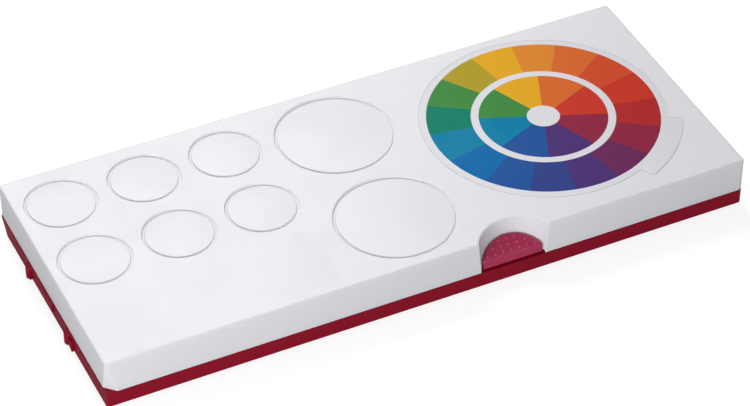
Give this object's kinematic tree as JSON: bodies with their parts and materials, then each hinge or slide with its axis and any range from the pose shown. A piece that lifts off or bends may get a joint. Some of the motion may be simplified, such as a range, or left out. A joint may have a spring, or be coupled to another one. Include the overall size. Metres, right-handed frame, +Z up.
{
  "type": "paint box",
  "caption": "Flat school paint box: crimson tray, white hinged lid with mixing wells, colour guide, sprung thumb button, paint pans and a tube of white.",
  "frame": {"origin": "centre of the tray's underside, on the surface that the box stands on", "axes": "+X along the length towards the colour guide, +Y from the thumb button towards the hinges, +Z up"},
  "size_m": [0.3481, 0.1481, 0.0282],
  "materials": {
    "crimson_shell": "crimson moulded plastic, fine satin skin",
    "white_shell": "cool white moulded plastic, fine satin skin",
    "label_film": "white printed film with hue sectors",
    "crimson_button": "crimson moulded plastic with grip pips",
    "pin_steel": "bright drawn pin",
    "spring_steel": "spring wire",
    "pan_plastic": "white moulded plastic",
    "paint_lemon_yellow": "dry pressed opaque watercolour",
    "paint_golden_yellow": "dry pressed opaque watercolour",
    "paint_orange": "dry pressed opaque watercolour",
    "paint_vermilion": "dry pressed opaque watercolour",
    "paint_carmine": "dry pressed opaque watercolour",
    "paint_violet": "dry pressed opaque watercolour",
    "paint_ultramarine": "dry pressed opaque watercolour",
    "paint_cyan_blue": "dry pressed opaque watercolour",
    "paint_blue_green": "dry pressed opaque watercolour",
    "paint_yellow_green": "dry pressed opaque watercolour",
    "paint_burnt_sienna": "dry pressed opaque watercolour",
    "paint_black": "dry pressed opaque watercolour",
    "tube_laminate": "white laminate squeeze tube",
    "cap_plastic": "white fluted screw cap"
  },
  "bodies": {
    "tray": {"base_tray": "crimson_shell", "button_pin": "pin_steel", "button_spring": "spring_steel", "white_paint_tube": "tube_laminate", "pan_lemon_yellow": "pan_plastic", "pan_golden_yellow": "pan_plastic", "pan_orange": "pan_plastic", "pan_vermilion": "pan_plastic", "pan_carmine": "pan_plastic", "pan_violet": "pan_plastic", "pan_ultramarine": "pan_plastic", "pan_cyan_blue": "pan_plastic", "pan_blue_green": "pan_plastic", "pan_yellow_green": "pan_plastic", "pan_burnt_sienna": "pan_plastic", "pan_black": "pan_plastic", "cake_lemon_yellow": "paint_lemon_yellow", "cake_golden_yellow": "paint_golden_yellow", "cake_orange": "paint_orange", "cake_vermilion": "paint_vermilion", "cake_carmine": "paint_carmine", "cake_violet": "paint_violet", "cake_ultramarine": "paint_ultramarine", "cake_cyan_blue": "paint_cyan_blue", "cake_blue_green": "paint_blue_green", "cake_yellow_green": "paint_yellow_green", "cake_burnt_sienna": "paint_burnt_sienna", "cake_black": "paint_black"},
    "lid": {"lid": "white_shell", "colour_guide_label": "label_film"},
    "button": {"release_button": "crimson_button"},
    "cap": {"tube_cap": "cap_plastic"}
  },
  "joints": [
    {"name": "lid_hinge", "type": "hinge", "parent": "tray", "child": "lid", "pos_m": [0, 0.073, 0.006], "axis": [-1, 0, 0], "range_deg": [0, 100]},
    {"name": "button_press", "type": "hinge", "parent": "tray", "child": "button", "pos_m": [0.0425, -0.056, 0.0056], "axis": [1, 0, 0], "range_deg": [0, 4], "stiffness_Nm_per_rad": 0.2, "springref_deg": -2.86, "deforming": ["button_spring"]},
    {"name": "cap_turn", "type": "hinge", "parent": "tray", "child": "cap", "pos_m": [0.1474, 0.0515, 0.0127], "axis": [1, 0, 0], "continuous": true}
  ]
}
